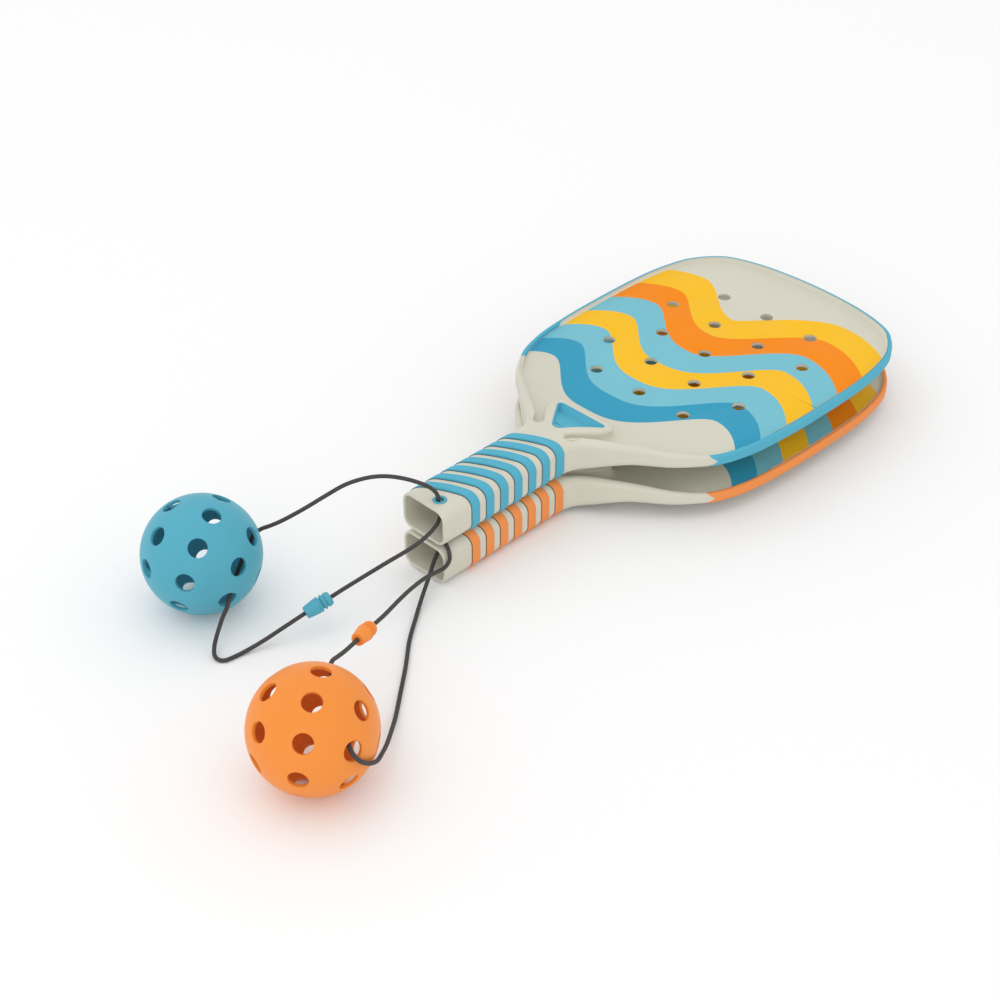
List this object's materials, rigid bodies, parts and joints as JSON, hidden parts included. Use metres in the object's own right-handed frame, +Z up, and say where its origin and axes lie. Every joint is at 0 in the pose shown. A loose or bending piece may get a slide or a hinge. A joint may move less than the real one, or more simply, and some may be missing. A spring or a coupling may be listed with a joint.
{
  "type": "paddle ball game",
  "caption": "Two stacked wide-blade paddles with ribbed hollow grips, each with a holed ball tethered by an elastic cord loop and a clasp.",
  "frame": {"origin": "on the surface that the part stands on, under the middle band of the lower grip", "axes": "+X along the grips towards the blade tips, +Y to the left seen from the grip end, +Z up out of the blade faces"},
  "size_m": [0.5908, 0.242, 0.0787],
  "materials": {
    "cream_plastic": "moulded plastic with a soft satin surface",
    "blue_rubber": "soft matte elastomer",
    "orange_rubber": "soft matte elastomer",
    "blue_plastic": "satin moulded plastic",
    "orange_plastic": "satin moulded plastic",
    "print": "printed film with flat waves of dark blue, light blue, yellow and orange on cream",
    "elastic": "round elastic cord with a fine woven cover"
  },
  "bodies": {
    "orange_paddle": {"orange_paddle": "cream_plastic", "orange_edge_guard": "orange_rubber", "orange_face_print": "print", "orange_thumb_rest": "orange_rubber", "orange_grommet": "orange_plastic", "orange_grip_band_1": "orange_rubber", "orange_grip_band_2": "orange_rubber", "orange_grip_band_3": "orange_rubber", "orange_grip_band_4": "orange_rubber", "orange_grip_band_5": "orange_rubber", "orange_grip_band_6": "orange_rubber", "orange_grip_band_7": "orange_rubber"},
    "orange_loop": {"orange_cord": "elastic", "orange_clasp_socket": "orange_plastic"},
    "orange_ball": {"orange_ball": "orange_plastic"},
    "orange_cap": {"orange_clasp_cap": "orange_plastic"},
    "blue_paddle": {"blue_paddle": "cream_plastic", "blue_edge_guard": "blue_rubber", "blue_face_print": "print", "blue_thumb_rest": "blue_rubber", "blue_grommet": "blue_plastic", "blue_grip_band_1": "blue_rubber", "blue_grip_band_2": "blue_rubber", "blue_grip_band_3": "blue_rubber", "blue_grip_band_4": "blue_rubber", "blue_grip_band_5": "blue_rubber", "blue_grip_band_6": "blue_rubber", "blue_grip_band_7": "blue_rubber"},
    "blue_loop": {"blue_cord": "elastic", "blue_clasp_socket": "blue_plastic"},
    "blue_ball": {"blue_ball": "blue_plastic"},
    "blue_cap": {"blue_clasp_cap": "blue_plastic"}
  },
  "joints": [
    {"name": "paddle_lift", "type": "slide", "parent": "orange_paddle", "child": "blue_paddle", "axis": [0, 0, 1], "range_m": [0, 0.15]},
    {"name": "orange_ball_pull", "type": "slide", "parent": "orange_paddle", "child": "orange_loop", "axis": [-0.9029, -0.43, 0], "range_m": [0, 0.12], "stiffness_N_per_m": 20, "deforming": ["orange_cord"]},
    {"name": "orange_ball_swing", "type": "hinge", "parent": "orange_loop", "child": "orange_ball", "pos_m": [-0.2104, -0.09925, 0.05345], "axis": [0.4572, 0.8518, 0.2557], "range_deg": [0, 60], "deforming": ["orange_cord"]},
    {"name": "orange_clasp_release", "type": "slide", "parent": "orange_loop", "child": "orange_cap", "axis": [0.9028, 0.3678, -0.2229], "range_m": [0, 0.006], "deforming": ["orange_cord"]},
    {"name": "blue_ball_pull", "type": "slide", "parent": "blue_paddle", "child": "blue_loop", "axis": [-0.8302, 0.5575, 0], "range_m": [0, 0.12], "stiffness_N_per_m": 20, "deforming": ["blue_cord"]},
    {"name": "blue_ball_swing", "type": "hinge", "parent": "blue_loop", "child": "blue_ball", "pos_m": [-0.15535, 0.0534, 0.0344], "axis": [0.8395, 0.4342, 0.3266], "range_deg": [0, 60], "deforming": ["blue_cord"]},
    {"name": "blue_clasp_release", "type": "slide", "parent": "blue_loop", "child": "blue_cap", "axis": [0.9156, -0.2553, 0.3107], "range_m": [0, 0.006], "deforming": ["blue_cord"]}
  ]
}
